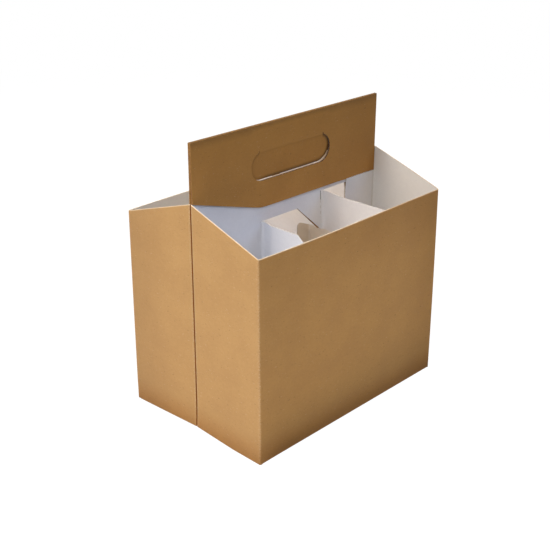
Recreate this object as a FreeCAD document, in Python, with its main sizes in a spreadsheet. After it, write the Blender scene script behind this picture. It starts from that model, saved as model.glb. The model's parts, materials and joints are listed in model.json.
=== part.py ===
import FreeCAD, Part

# Bottle carrier with six cells, folded from one blank of solid kraft board.
#
# The frame's origin is the middle of the base, on the surface the carrier stands on.
# +X runs along the carrier, +Y across it and +Z up. The two halves, near (-Y) and far
# (+Y), mirror each other about the plane Y = 0, where their medial walls are glued back
# to back. Only the bottom panels differ, because one laps over the other.
#
# The blank makes each half as a sleeve of four walls: side wall, two end walls and
# medial wall. Two straps are cut out of each medial wall and folded across the half's
# space to the side wall, which leaves windows in the medial wall and parts the space
# into three cells. The second strap's lower corner is missing, because the first
# strap's glue tab was cut from there.

import os

import Sketcher
from FreeCAD import Rotation, Vector

# Driving dimensions, in millimetres and degrees: alias, value, what it is.
SIZES = (
    ("board", 0.6, "thickness of the solid board"),
    ("carton_length", 194.4, "outside length over the end walls"),
    ("carton_width", 130.0, "outside width over the side walls"),
    ("wall_height", 152.0, "height of the side walls and of the end walls' corners"),
    ("seam_height", 172.0, "height of the end walls at their middle seam"),
    ("handle_top", 214.0, "height of the handle's upper fold"),
    ("fold_radius", 1.2, "outside radius of the four corner folds"),
    ("seam_recess", 2.6, "how far the left end wall is drawn in at its seam"),
    ("seam_groove", 0.8, "half width and depth of the valley between the two halves"),
    ("seam_radius", 0.5, "outside radius of the folds beside the seam"),
    ("handle_left_inset", 2.4, "left end wall's corner to the handle's left edge"),
    ("handle_right_inset", 1.2, "right end wall to the handle's right edge"),
    ("handle_fold_radius", 1.0, "radius of each fold-over ply along the handle's top"),
    ("skirt_height", 151.6, "lower edge of the handle's fold-over plies"),
    ("skirt_chamfer_end", 67.8, "from the left end to the foot of the plies' chamfer"),
    ("slot_start", 57.2, "from the left end to the finger slot"),
    ("slot_end", 140.0, "from the left end to the finger slot's other side"),
    ("slot_bottom", 172.7, "height of the finger slot's lower edge"),
    ("slot_corner", 11.0, "radius of the finger slot's lower corners"),
    ("slot_shoulder", 8.0, "radius of the finger slot's upper corners"),
    ("crease_height", 194.7, "height of the crease that the finger flap hangs on"),
    ("cut_gap", 0.3, "clearance all round the finger flap"),
    ("flap_tilt", 7.5, "angle by which the finger flap rests pushed to the far side"),
    ("cell_pitch", 65.0, "length of one cell along the carrier"),
    ("tab_length", 21.5, "length of the glue tab at the end of each strap"),
    ("strap_foot", 30.0, "height of the straps' lower ends"),
    ("shoulder_height", 120.5, "height of the first glue tab and of the notch it leaves"),
    ("first_strap_top", 143.0, "height of the first strap's upper edge"),
    ("first_strap_level", 39.5, "length of the first strap's upper edge before it slopes"),
    ("second_strap_top", 150.4, "height of the second strap's upper edge"),
    ("notch_radius", 5.0, "radius of the tab's upper corner and of the notch it leaves"),
    ("riser_length", 34.4, "length of the riser folded in from the right end wall"),
    ("medial_foot", 3.0, "height of the medial wall's lower edge over the floor"),
    ("bottom_gap", 0.6, "clearance between the bottom panels and the end walls"),
    ("bottom_length", 110.0, "width of the bottom panel that folds in from the near side"),
    ("lap_length", 45.0, "width of the bottom panel that folds in from the far side"),
    ("overcut", 5.0, "how far a cutting outline runs past the board"),
)


def add_sizes(document):
    """Spreadsheet that holds the driving dimensions, one alias to a row."""
    sheet = document.addObject("Spreadsheet::Sheet", "sizes")
    for row, (alias, value, meaning) in enumerate(SIZES, start=1):
        sheet.set(f"A{row}", alias)
        sheet.set(f"B{row}", str(value))
        sheet.set(f"C{row}", meaning)
        sheet.setAlias(f"B{row}", alias)
    document.recompute()
    return sheet


# Places and sums that several features share, as expressions on the sheet's cells.
LEFT_END = "-sizes.carton_length / 2"
RIGHT_END = "sizes.carton_length / 2"
NEAR_SIDE = "-sizes.carton_width / 2"
FAR_SIDE = "sizes.carton_width / 2"
TWO_PLIES = "2 * sizes.board"
FOUR_PLIES = "4 * sizes.board"
NEAR_INSIDE = f"{NEAR_SIDE} + sizes.board"
BELOW_FLOOR = "-sizes.overcut"
SECOND_STRAP = "2 * sizes.cell_pitch"


def from_left(distance):
    """X of the place at a distance, itself an expression, from the left end."""
    return f"{distance} {LEFT_END}"


def origin_plane(body, role):
    """One of a body's own origin planes, such as XY_Plane."""
    return next(item for item in body.Origin.OriginFeatures if item.Role == role)


def add_sketch(body, name, role, lift="0"):
    """Empty sketch on one of the body's origin planes, lifted along its normal."""
    sketch = body.newObject("Sketcher::SketchObject", name)
    sketch.AttachmentSupport = [(origin_plane(body, role), "")]
    sketch.MapMode = "FlatFace"
    sketch.setExpression("AttachmentOffset.Base.z", lift)
    body.Document.recompute()
    return sketch


def bind(sketch, constraint, expression):
    """Adds a constraint and drives its value by an expression."""
    index = sketch.addConstraint(constraint)
    sketch.setExpression(f"Constraints[{index}]", expression)


def place_point(sketch, geometry, end, across, up):
    """Holds one end of a piece of sketch geometry at named distances from the origin."""
    origin, x_axis, y_axis = -1, -1, -2
    if across == "0":
        sketch.addConstraint(Sketcher.Constraint("PointOnObject", geometry, end, y_axis))
    else:
        value = float(sketch.evalExpression(across))
        bind(sketch, Sketcher.Constraint("DistanceX", origin, 1, geometry, end, value), across)
    if up == "0":
        sketch.addConstraint(Sketcher.Constraint("PointOnObject", geometry, end, x_axis))
    else:
        value = float(sketch.evalExpression(up))
        bind(sketch, Sketcher.Constraint("DistanceY", origin, 1, geometry, end, value), up)


def add_outline(sketch, corners):
    """Closed outline of straight lines, with an arc at each corner that has a radius.

    Each corner is (across, up) or (across, up, radius), all expressions. A sharp corner
    is held by its two distances. A rounded one is held the same way where its two lines
    would meet, and its arc is tangent to both.
    """
    spots = [Vector(*(float(sketch.evalExpression(term)) for term in corner[:2]), 0)
             for corner in corners]
    arrivals, departures, arcs = [], [], []
    for index, corner in enumerate(corners):
        spot = spots[index]
        came = (spot - spots[index - 1]).normalize()
        goes = (spots[(index + 1) % len(spots)] - spot).normalize()
        if len(corner) == 2:
            arrivals.append(spot)
            departures.append(spot)
            arcs.append(None)
            continue
        radius = float(sketch.evalExpression(corner[2]))
        left_turn = came.cross(goes).z > 0
        reach = radius * abs((goes - came).Length / (goes + came).Length)
        arrivals.append(spot - came * reach)
        departures.append(spot + goes * reach)
        inward = Vector(-came.y, came.x, 0) * (radius if left_turn else -radius)
        centre = arrivals[-1] + inward
        ends = (arrivals[-1], departures[-1]) if left_turn else (departures[-1], arrivals[-1])
        middle = centre + (spot - centre).normalize() * radius
        arcs.append((Part.Arc(ends[0], middle, ends[1]), left_turn))

    count = len(corners)
    lines = [sketch.addGeometry(Part.LineSegment(departures[index], arrivals[(index + 1) % count]))
             for index in range(count)]
    for index, corner in enumerate(corners):
        before, after = lines[index - 1], lines[index]
        if arcs[index] is None:
            sketch.addConstraint(Sketcher.Constraint("Coincident", before, 2, after, 1))
            place_point(sketch, after, 1, *corner)
            continue
        curve, left_turn = arcs[index]
        arc = sketch.addGeometry(curve)
        tip = sketch.addGeometry(Part.Point(spots[index]), True)
        place_point(sketch, tip, 1, *corner[:2])
        first, last = (1, 2) if left_turn else (2, 1)
        sketch.addConstraint(Sketcher.Constraint("Tangent", before, 2, arc, first))
        sketch.addConstraint(Sketcher.Constraint("Tangent", after, 1, arc, last))
        sketch.addConstraint(Sketcher.Constraint("PointOnObject", tip, 1, before))
        sketch.addConstraint(Sketcher.Constraint("PointOnObject", tip, 1, after))
        radius = float(sketch.evalExpression(corner[2]))
        bind(sketch, Sketcher.Constraint("Radius", arc, radius), corner[2])


def add_pad(body, name, sketch, length, symmetric=False, backwards=False):
    """Pad of a sketch, along its normal, against it or to both sides."""
    feature = body.newObject("PartDesign::Pad", name)
    feature.Profile = (sketch, [""])
    feature.setExpression("Length", length)
    feature.SideType = "Symmetric" if symmetric else "One side"
    feature.Reversed = backwards
    body.Document.recompute()
    return feature


def add_cut(body, name, sketch, length):
    """Pocket of a sketch to both sides of its plane; it has to take some board away."""
    before = body.Tip.Shape.Volume
    feature = body.newObject("PartDesign::Pocket", name)
    feature.Profile = (sketch, [""])
    feature.setExpression("Length", length)
    feature.SideType = "Symmetric"
    body.Document.recompute()
    if not feature.Shape.Volume < before:
        raise ValueError(f"{name} cuts nothing")
    return feature


def add_fillet(body, name, radius, is_chosen):
    """Fillet of the edges of the body's tip that a test on their two ends picks."""
    base = body.Tip
    names = []
    for index, edge in enumerate(base.Shape.Edges, start=1):
        ends = [vertex.Point for vertex in edge.Vertexes]
        if len(ends) == 2 and is_chosen(*ends):
            names.append(f"Edge{index}")
    if not names:
        raise ValueError(f"{name} finds no edge")
    feature = body.newObject("PartDesign::Fillet", name)
    feature.Base = (base, names)
    feature.setExpression("Radius", radius)
    body.Document.recompute()
    return feature


def add_walls(body, sheet):
    """Both halves' sleeves of walls, to the height of the end walls' seam.

    The plan is one outline with a cell space left open on each side of the medial wall.
    Each end wall has a valley at its middle, where the halves' folds lie side by side.
    """
    seam_left = f"{LEFT_END} + sizes.seam_recess"
    outside = [
        (LEFT_END, NEAR_SIDE),
        (RIGHT_END, NEAR_SIDE),
        (RIGHT_END, "-sizes.seam_groove"),
        (f"{RIGHT_END} - sizes.seam_groove", "0"),
        (RIGHT_END, "sizes.seam_groove"),
        (RIGHT_END, FAR_SIDE),
        (LEFT_END, FAR_SIDE),
        (seam_left, "sizes.seam_groove"),
        (f"{seam_left} + sizes.seam_groove", "0"),
        (seam_left, "-sizes.seam_groove"),
    ]
    near_space = [
        (f"{LEFT_END} + sizes.board", NEAR_INSIDE),
        (f"{RIGHT_END} - sizes.board", NEAR_INSIDE),
        (f"{RIGHT_END} - sizes.board", "-sizes.board"),
        (f"{seam_left} + sizes.board", "-sizes.board"),
    ]
    far_space = [(across, f"-({up})") for across, up in near_space]
    sketch = add_sketch(body, "walls_plan", "XY_Plane")
    for outline in (outside, near_space, far_space):
        add_outline(sketch, outline)
    add_pad(body, "walls", sketch, "sizes.seam_height")

    half_length, half_width = sheet.carton_length / 2, sheet.carton_width / 2
    board, groove = sheet.board, sheet.seam_groove

    def is_upright(start, end):
        return abs(start.x - end.x) + abs(start.y - end.y) < board / 10

    def is_outer_corner(start, end):
        at_corner = abs(start.x) > half_length - board / 2 and abs(start.y) > half_width - board / 2
        return is_upright(start, end) and at_corner

    def is_inner_corner(start, end):
        beside_side_wall = abs(abs(start.y) - (half_width - board)) < board / 10
        return is_upright(start, end) and beside_side_wall

    def is_seam_fold(start, end):
        return is_upright(start, end) and abs(abs(start.y) - groove) < board / 10

    add_fillet(body, "corner_folds_outside", "sizes.fold_radius", is_outer_corner)
    add_fillet(body, "corner_folds_inside", "sizes.fold_radius - sizes.board", is_inner_corner)
    add_fillet(body, "seam_folds", "sizes.seam_radius", is_seam_fold)


def add_sloping_tops(body):
    """End walls' tops, which fall from the seam to the corners, and level side walls."""
    past_side = f"{FAR_SIDE} + sizes.overcut"
    over_top = "sizes.seam_height + sizes.overcut"
    sketch = add_sketch(body, "tops_profile", "YZ_Plane")
    add_outline(sketch, [
        (f"-({past_side})", "sizes.wall_height"),
        (NEAR_SIDE, "sizes.wall_height"),
        ("0", "sizes.seam_height"),
        (FAR_SIDE, "sizes.wall_height"),
        (past_side, "sizes.wall_height"),
        (past_side, over_top),
        (f"-({past_side})", over_top),
    ])
    add_cut(body, "sloping_tops", sketch, "sizes.carton_length + sizes.overcut")


def add_medial_windows(body):
    """Windows that the straps leave in the medial wall, down to the riser's free edge."""
    foot_start = f"{LEFT_END} + sizes.seam_recess + {FOUR_PLIES}"
    foot_end = f"{RIGHT_END} - {FOUR_PLIES}"
    riser = f"{RIGHT_END} - sizes.riser_length"
    sketch = add_sketch(body, "medial_windows_profile", "XZ_Plane")
    add_outline(sketch, [
        (foot_start, BELOW_FLOOR),
        (foot_end, BELOW_FLOOR),
        (foot_end, "sizes.medial_foot"),
        (riser, "sizes.medial_foot"),
        (riser, "sizes.second_strap_top"),
        (from_left(SECOND_STRAP), "sizes.second_strap_top"),
        (from_left(SECOND_STRAP), "sizes.shoulder_height"),
        (from_left("sizes.cell_pitch + sizes.first_strap_level"), "sizes.first_strap_top"),
        (from_left("sizes.cell_pitch"), "sizes.first_strap_top"),
        (from_left("sizes.cell_pitch"), "sizes.medial_foot"),
        (foot_start, "sizes.medial_foot"),
    ])
    add_cut(body, "medial_windows", sketch, FOUR_PLIES)


def add_handle(body, sheet):
    """Handle of four plies: the two medial walls and a ply folded over on each face.

    The plies' skirt hangs down inside the carrier and is cut off at a slant on the left.
    """
    left = from_left("sizes.handle_left_inset")
    right = f"{RIGHT_END} - sizes.handle_right_inset"
    sketch = add_sketch(body, "handle_profile", "XZ_Plane")
    add_outline(sketch, [
        (left, "sizes.seam_height"),
        (from_left("sizes.skirt_chamfer_end"), "sizes.skirt_height"),
        (right, "sizes.skirt_height"),
        (right, "sizes.handle_top"),
        (left, "sizes.handle_top"),
    ])
    add_pad(body, "handle", sketch, FOUR_PLIES, symmetric=True)

    def is_upper_fold(start, end):
        return min(start.z, end.z) > sheet.handle_top - sheet.board and start.y * end.y > 0 \
            and abs(start.x - end.x) > sheet.board

    add_fillet(body, "handle_folds", "sizes.handle_fold_radius", is_upper_fold)


def add_finger_slot(body):
    """Slot that the finger flap fills, with clearance above the flap's rounded crease.

    Its upper corners are tighter than the flap's, so that they clear the flap's heel
    when it swings.
    """
    top = "sizes.crease_height + 2 * sizes.board + sizes.cut_gap"
    sketch = add_sketch(body, "finger_slot_profile", "XZ_Plane")
    add_outline(sketch, [
        (from_left("sizes.slot_start"), "sizes.slot_bottom", "sizes.slot_corner"),
        (from_left("sizes.slot_end"), "sizes.slot_bottom", "sizes.slot_corner"),
        (from_left("sizes.slot_end"), top, "sizes.slot_shoulder"),
        (from_left("sizes.slot_start"), top, "sizes.slot_shoulder"),
    ])
    add_cut(body, "finger_slot", sketch, "4 * sizes.board + sizes.overcut")


def add_straps(body):
    """Two straps to each half, with glue tabs flat on the side wall's inner face."""
    def strap(name, place, corners):
        sketch = add_sketch(body, f"{name}_profile", "YZ_Plane", from_left(place))
        add_outline(sketch, corners)
        return add_pad(body, name, sketch, "sizes.board")

    def tab(name, place, top_corner):
        sketch = add_sketch(body, f"{name}_profile", "XZ_Plane", f"-({NEAR_INSIDE})")
        start = from_left(place)
        end = from_left(f"{place} + sizes.tab_length")
        add_outline(sketch, [
            (start, "sizes.strap_foot"),
            (end, "sizes.strap_foot"),
            (end, *top_corner),
            (start, top_corner[0]),
        ])
        return add_pad(body, name, sketch, "sizes.board", backwards=True)

    first = strap("first_strap", "sizes.cell_pitch", [
        ("0", "sizes.strap_foot"),
        ("0", "sizes.first_strap_top"),
        ("-sizes.first_strap_level", "sizes.first_strap_top"),
        (NEAR_INSIDE, "sizes.shoulder_height"),
        (NEAR_INSIDE, "sizes.strap_foot"),
    ])
    first_tab = tab("first_tab", "sizes.cell_pitch", ("sizes.shoulder_height", "sizes.notch_radius"))
    second = strap("second_strap", SECOND_STRAP, [
        ("0", "sizes.shoulder_height"),
        ("0", "sizes.second_strap_top"),
        (NEAR_INSIDE, "sizes.second_strap_top"),
        (NEAR_INSIDE, "sizes.strap_foot"),
        ("-sizes.tab_length", "sizes.strap_foot"),
        ("-sizes.tab_length", "sizes.shoulder_height", "sizes.notch_radius"),
    ])
    second_tab = tab("second_tab", SECOND_STRAP, ("sizes.second_strap_top",))

    mirror = body.newObject("PartDesign::Mirrored", "far_straps")
    mirror.Originals = [first, first_tab, second, second_tab]
    mirror.MirrorPlane = (origin_plane(body, "XZ_Plane"), [""])
    body.Tip = mirror
    body.Document.recompute()


def add_bottom(body):
    """Bottom: the near side's panel on the floor and the far side's lapped over it."""
    start = f"{LEFT_END} + sizes.seam_recess + sizes.board + sizes.bottom_gap"
    end = f"{RIGHT_END} - sizes.board - sizes.bottom_gap"
    panels = (
        ("bottom_panel", NEAR_INSIDE, f"{NEAR_SIDE} + sizes.bottom_length", "0"),
        ("lap_panel", f"{FAR_SIDE} - sizes.lap_length", f"-({NEAR_INSIDE})", "sizes.board"),
    )
    for name, near, far, lift in panels:
        sketch = add_sketch(body, f"{name}_plan", "XY_Plane", lift)
        add_outline(sketch, [(start, near), (end, near), (end, far), (start, far)])
        add_pad(body, name, sketch, "sizes.board")


def make_carton(document, sheet):
    """The whole folded and glued blank, apart from the finger flap."""
    body = document.addObject("PartDesign::Body", "carton")
    add_walls(body, sheet)
    add_sloping_tops(body)
    add_medial_windows(body)
    add_handle(body, sheet)
    add_finger_slot(body)
    add_straps(body)
    add_bottom(body)
    return body


def make_finger_flap(document):
    """Flap cut in the handle's four plies, hung on the crease along its upper edge.

    Its own origin is on the crease. The edge is rounded about the crease, so that the
    flap swings to either side without touching the slot.
    """
    body = document.addObject("PartDesign::Body", "finger_flap")
    half_width = "(sizes.slot_end - sizes.slot_start) / 2 - sizes.cut_gap"
    depth = "sizes.crease_height - sizes.slot_bottom - sizes.cut_gap"
    corner = "sizes.slot_corner - sizes.cut_gap"

    sketch = add_sketch(body, "flap_profile", "XZ_Plane")
    add_outline(sketch, [
        (f"-({half_width})", f"-({depth})", corner),
        (half_width, f"-({depth})", corner),
        (half_width, "0", corner),
        (f"-({half_width})", "0", corner),
    ])
    add_pad(body, "flap", sketch, FOUR_PLIES, symmetric=True)

    section = add_sketch(body, "crease_section", "YZ_Plane")
    radius = float(section.evalExpression(TWO_PLIES))
    circle = section.addGeometry(Part.Circle(Vector(0, 0, 0), Vector(0, 0, 1), radius))
    section.addConstraint(Sketcher.Constraint("Coincident", circle, 3, -1, 1))
    bind(section, Sketcher.Constraint("Radius", circle, radius), TWO_PLIES)
    add_pad(body, "crease", section, f"2 * ({half_width} - {corner})", symmetric=True)

    body.setExpression("Placement.Base.x", from_left("(sizes.slot_start + sizes.slot_end) / 2"))
    body.setExpression("Placement.Base.z", "sizes.crease_height")
    body.Placement.Rotation = Rotation(Vector(1, 0, 0), 1)
    body.setExpression("Placement.Rotation.Angle", "sizes.flap_tilt")
    document.recompute()
    return body


def check_document(document, bodies):
    """Stops before anything is written if an object failed or a shape isn't sound."""
    for item in document.Objects:
        if "Invalid" in item.State or "Error" in item.State:
            raise ValueError(f"{item.Name} failed: {item.State}")
    for item in document.Objects:
        if item.TypeId == "Sketcher::SketchObject" and not item.FullyConstrained:
            raise ValueError(f"{item.Name} isn't fully constrained")
    for body in bodies:
        if body.Shape.isNull() or not body.Shape.isValid() or len(body.Shape.Solids) != 1:
            raise ValueError(f"{body.Label} isn't one sound solid")


def main():
    document = FreeCAD.newDocument("bottle_carrier")
    sheet = add_sizes(document)
    bodies = (make_carton(document, sheet), make_finger_flap(document))
    document.recompute()
    check_document(document, bodies)
    os.makedirs("parts", exist_ok=True)
    for body in bodies:
        body.Shape.exportStep(f"parts/{body.Label}.step")
        box = body.Shape.BoundBox
        print(body.Label, f"{body.Shape.Volume:.0f} mm3",
              f"{box.XLength:.2f} x {box.YLength:.2f} x {box.ZLength:.2f} mm")


main()
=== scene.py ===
import json
import math
from collections import namedtuple

import bmesh
import bpy
import numpy as np
from mathutils import Matrix, Vector


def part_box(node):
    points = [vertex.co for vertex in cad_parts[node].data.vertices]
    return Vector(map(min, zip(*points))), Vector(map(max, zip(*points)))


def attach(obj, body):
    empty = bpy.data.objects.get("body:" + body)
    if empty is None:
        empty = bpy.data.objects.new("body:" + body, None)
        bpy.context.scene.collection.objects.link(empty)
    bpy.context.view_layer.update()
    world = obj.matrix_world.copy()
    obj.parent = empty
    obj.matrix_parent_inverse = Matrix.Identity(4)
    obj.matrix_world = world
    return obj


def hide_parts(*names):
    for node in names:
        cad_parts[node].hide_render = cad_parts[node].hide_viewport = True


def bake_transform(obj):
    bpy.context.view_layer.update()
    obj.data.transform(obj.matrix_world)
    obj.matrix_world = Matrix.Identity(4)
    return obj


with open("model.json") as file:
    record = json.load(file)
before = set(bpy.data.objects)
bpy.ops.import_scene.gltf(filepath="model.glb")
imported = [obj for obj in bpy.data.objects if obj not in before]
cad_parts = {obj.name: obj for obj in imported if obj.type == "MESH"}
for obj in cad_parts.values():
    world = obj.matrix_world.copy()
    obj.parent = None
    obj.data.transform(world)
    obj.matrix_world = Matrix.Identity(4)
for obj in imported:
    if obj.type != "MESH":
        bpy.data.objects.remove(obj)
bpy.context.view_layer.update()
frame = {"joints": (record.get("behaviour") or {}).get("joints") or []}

# Bottle carrier of solid kraft board: brown and uncoated outside, coated white inside.
# The whole carrier is one blank. Each panel is drawn here as the blank has it, by the
# path that it is folded along and by its lower and upper cut edges, and is then given
# the board's thickness. The near (-Y) and far (+Y) halves mirror each other.

MM = 0.001

# Sizes, in metres.
HALF_LENGTH, HALF_WIDTH, HANDLE_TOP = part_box("carton")[1]
CREASE = np.array(frame["joints"][0]["pos_m"])
BOARD = 0.6 * MM
PLY = 0.56 * MM  # board pressed in the handle
GLUE_GAP = 0.02 * MM  # from the middle plane to each half's glued face
WALL_TOP = 152.0 * MM
SEAM_TOP = 172.0 * MM
CORNER_FOLD = 1.2 * MM  # outside radius of the folds at the corners
SEAM_FOLD = 0.7 * MM  # outside radius of the folds at the end walls' seams
BOTTOM_FOLD = 0.6 * MM
RISER = 34.4 * MM
TAB = 23.9 * MM
STRAP_FOOT = 30.0 * MM
STRAP_TURNS = (2.2 * MM, 2.6 * MM)  # radius of each strap's turn out of the medial wall
STRAP_DRIFTS = (11.0 * MM, 22.0 * MM)  # how soon each strap is back in its own plane
HINGE_SLIT = 0.45 * MM  # opening of the cut at the top of a hinge
FIRST_SLIT = 0.63 * MM  # the same, where the first strap leaves the medial wall
SLIT_FOOT = 143.2 * MM  # lower end of the second hinge's cut
CUT_PITCH = 4.4 * MM  # of the fine cuts below it
SHOULDER = 119.8 * MM  # first strap's top at the side wall, and the notch's top
FIRST_TOP = 142.6 * MM
FIRST_LEVEL = 38.7 * MM
SECOND_TOP = 150.4 * MM
NOTCH_RADIUS = 5.0 * MM
MEDIAL_FOOT = 3.0 * MM
END_RISE = 1.9 * MM  # how far the end walls' cut feet rise towards the seam
END_RISE_REACH = (38.0 * MM, 58.0 * MM)  # how far from the seam, near and far
SKIRT_FOOT = 153.2 * MM
SKIRT_DROP = 0.6 * MM  # how much lower the skirt hangs at the right end
SKIRT_DROP_REACH = (15 * MM, 25 * MM)  # from the second hinge to there, and over what
SKIRT_CHAMFER = 66.8 * MM  # from the left end to the foot of the skirt's slant
HANDLE_LEFT = 2.4 * MM
HANDLE_RIGHT = 1.2 * MM
SLOT_HALF = 40.9 * MM  # half the finger slot's length
SLOT_RADIUS = 10.8 * MM
SLOT_FOOT = 173.1 * MM
CREASE_HALF = 33.8 * MM  # half the length of the crease between the cut's ends
CREASE_BAND = 0.7 * MM  # board above the crease that bends with the flap
CUT = 0.12 * MM  # width of the knife's cut round the flap
CUT_END = 0.6 * MM  # half the length over which the cut turns up to the crease
# Beside the crease, the painted shade along the flap's cut comes in over this length.
TOP_FADE = 3.4 * MM  # over which the tone along the cut comes in beside the crease
FLAP_TILT = math.radians(7.5)
FLAP_BEND = 2.2 * MM  # board below the crease that bends with it
CREASE_SHADE = 2.0 * MM  # below the crease, over which its tone fades
BOTTOM_REACH = 110.0 * MM
LAP_REACH = 45.0 * MM
LAP_RAMP = 17.0 * MM  # over which the lapping bottom panel rises onto the other
BOTTOM_INSET = 2.6 * MM
RIM_STRIP = 0.2 * MM  # height of a narrow strip of the walls below the rim

# How finely the sheets are drawn.
STEP = 4.0 * MM  # spacing of a sheet's points on a flat stretch
JUMP = 0.02 * MM  # smallest distance between two columns of a sheet
SAME = JUMP / 10  # places nearer than this are one
WELD = JUMP / 4  # points nearer than this are joined
ARC_POINTS = 9  # on each fold and on each quarter round

# How the folded board has settled, in metres.
END_DRAW = 1.7 * MM  # left end drawn in at its seam
FOOT_HOLD = 0.8 * MM  # less of that at the foot, which the bottom holds out
FOOT_HOLD_REACH = 14.0 * MM  # how far up the bottom's hold dies away
END_REACH = 60.0 * MM  # how far along the carrier an end's movement dies away
RIGHT_LEAN = 2.4 * MM  # right end's upper corners leaning in
FAR_LEAN = 0.3  # share of that in the far half
RIM_BOW = 1.6 * MM  # near rim bowing out
BOW_PLACE = 0.286  # share of the length at which it bows most
BOW_RISE, BOW_FALL = 0.8, 2  # powers that it rises and falls by along the length
FOOT_SPLAY = 0.8 * MM  # near wall's foot standing out, most at the left
SPLAY_LOSS = 0.7  # share of the splay that is gone at the right end
CORNER_TUCK = 0.5 * MM  # near wall's upper left corner drawn in
FAR_BOW = 0.5  # share of bow, splay and tuck in the far half
SEAM_OPEN = 0.36 * MM  # half the gap between the halves at the left end
SEAM_OPEN_REACH = 24.0 * MM  # how far along the carrier it closes
SEAM_OPEN_FOOT = (0.3, 20.0 * MM)  # share left at the foot, and up to where
SEAM_OPEN_HANDLE = (0.15, 16.0 * MM)  # share left in the handle, and from where
TIP_SPREAD = 1.1 * MM  # medial wall's free tip at the second hinge, pulled out
TIP_REACH = (30 * MM, 28 * MM)  # how far that bends the wall, along and up
TIP_PAST = (5.0 * MM, 8.0 * MM)  # where past the hinge it ends, and how softly
TIP_DEPTH = 9.0 * MM  # how far from the middle plane it dies away
RISER_CLOSE = 0.5 * MM  # riser's free edge, pressed towards the other riser
RISER_CLOSE_DROP = 6.0 * MM  # below its top, where it starts to close
FOLD_RUB = 1.0 * MM  # reach of the rubbed strip beside a fold

LEFT_X, RIGHT_X = -HALF_LENGTH, HALF_LENGTH
FIRST_X, SECOND_X = LEFT_X + 66.9 * MM, LEFT_X + 130.8 * MM  # the straps' hinges
STRAP_PLANES = (LEFT_X + 66.6 * MM, LEFT_X + 130.8 * MM)
SLOT_TOP = SLOT_FOOT + 2 * SLOT_RADIUS
SLOT_SHADE = 7.0 * MM  # above the slot's foot, from where the far half's edge is dark
MEDIAL_REACH = 3.0 * MM  # faces this near the middle plane are the medial walls'
END_DEPTH = 3.5 * MM  # faces this near the right end are its wall's
SEAM_GAP_SHADE_REACH = 30.0 * MM  # from the left end, over which the faces inside the gap between the halves get painted shade


# ------------------------ board and its edges

def folded_path(corners, radii):
    """Path through plan points, with an arc of the given radius at each inner one.

    Straight stretches are divided evenly and each arc by angle. Returns the points,
    their distance along the path and the distance of each fold's middle.
    """
    corners = np.array(corners, float)
    points, creases = [corners[:1]], []
    for before, corner, after, radius in zip(corners, corners[1:], corners[2:], radii):
        came = (corner - before) / np.linalg.norm(corner - before)
        goes = (after - corner) / np.linalg.norm(after - corner)
        cross = came[0] * goes[1] - came[1] * goes[0]
        turn = math.atan2(cross, came @ goes)
        side = math.copysign(1.0, turn)
        start = corner - came * radius * math.tan(abs(turn) / 2)
        centre = start + side * radius * np.array([-came[1], came[0]])
        angles = np.linspace(0, turn, ARC_POINTS)
        spoke = start - centre
        arc = centre + stacked(spoke[0] * np.cos(angles) - spoke[1] * np.sin(angles),
                               spoke[0] * np.sin(angles) + spoke[1] * np.cos(angles))
        points += [straight(points[-1][-1], arc[0]), arc]
        creases.append(sum(len(part) for part in points) - ARC_POINTS // 2 - 1)
    points.append(straight(points[-1][-1], corners[-1]))
    return measured_path(np.concatenate(points), creases)


def measured_path(points, creases):
    """Path's points, their distance along it and the distance of its creases."""
    lengths = np.linalg.norm(np.diff(points, axis=0), axis=1)
    distance = np.concatenate([[0], np.cumsum(lengths)])
    fresh = np.concatenate([[True], np.diff(distance) > SAME])
    return points[fresh], distance[fresh], distance[creases]


def straight(start, end):
    """Points on a straight stretch, about one step apart, with close ones by its ends."""
    length = np.linalg.norm(end - start)
    inset = min(STEP / 2, length / 4) / length
    between = np.linspace(inset, 1 - inset, max(2, round(length / STEP)))
    share = np.concatenate([[0], between, [1]])
    return start + (end - start) * share[:, None]


def stacked(*axes):
    """Points whose coordinates are these arrays, each brought to the shape of them all."""
    return np.stack(np.broadcast_arrays(*axes), -1)


def fold_nearness(away):
    """From 1 on a fold to 0 far from it, by a bell curve over the distance away."""
    return np.exp(-(away / FOLD_RUB) ** 2)


def edge_heights(outline, distances):
    """Height of a cut edge, given as (distance, height) pairs, at other distances."""
    outline = np.array(outline)
    return np.interp(distances, outline[:, 0], outline[:, 1])


def rounded_end(start, end, height, radius):
    """Cut edge that turns down in a quarter round, as (distance, height) pairs."""
    turn = np.linspace(0, math.pi / 2, ARC_POINTS)
    distance = start + (end - start) * np.sin(turn)
    return list(zip(distance, height - radius * (1 - np.cos(turn))))


def upright_bands(path, bands):
    """Sheet that stands on a plan path, in bands one above another.

    A band is its start and end along the path, its lower and upper outline and its rows
    of points. A point is a share of the way up from one outline to the other. All bands
    have the same columns, so that bands that share an outline meet there. Returns a grid
    of settled points for each band, with its flat places on the blank and its tone masks,
    which place real wear and painted light and shade.
    """
    points, distance, creases = path
    marks = [np.array(line)[:, 0] for _, _, lower, upper, _ in bands for line in (lower, upper)]
    marks += [np.array([start, end]) for start, end, *_ in bands]
    marks = np.concatenate(marks)
    marks = marks[(marks > distance[0]) & (marks < distance[-1])]
    every = merge_close(np.union1d(distance, marks), marks)
    rim = bands[-1][3]
    grids = []
    for start, end, lower, upper, rows in bands:
        where = every[(every > start - JUMP) & (every < end + JUMP)]
        x, y = (np.interp(where, distance, points[:, axis]) for axis in (0, 1))
        low, high = edge_heights(lower, where), edge_heights(upper, where)
        share = np.linspace(0, 1, rows)[:, None]
        height = low * (1 - share) + high * share
        fold = fold_nearness(np.abs(where[:, None] - creases).min(-1))
        on_end = ease((np.abs(x) - HALF_LENGTH + CORNER_FOLD) / CORNER_FOLD)
        tone_mask = stacked(fold, edge_heights(rim, where) - height, on_end)
        grids.append((settle(stacked(x, y, height)), stacked(where, height), tone_mask))
    return grids


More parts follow.
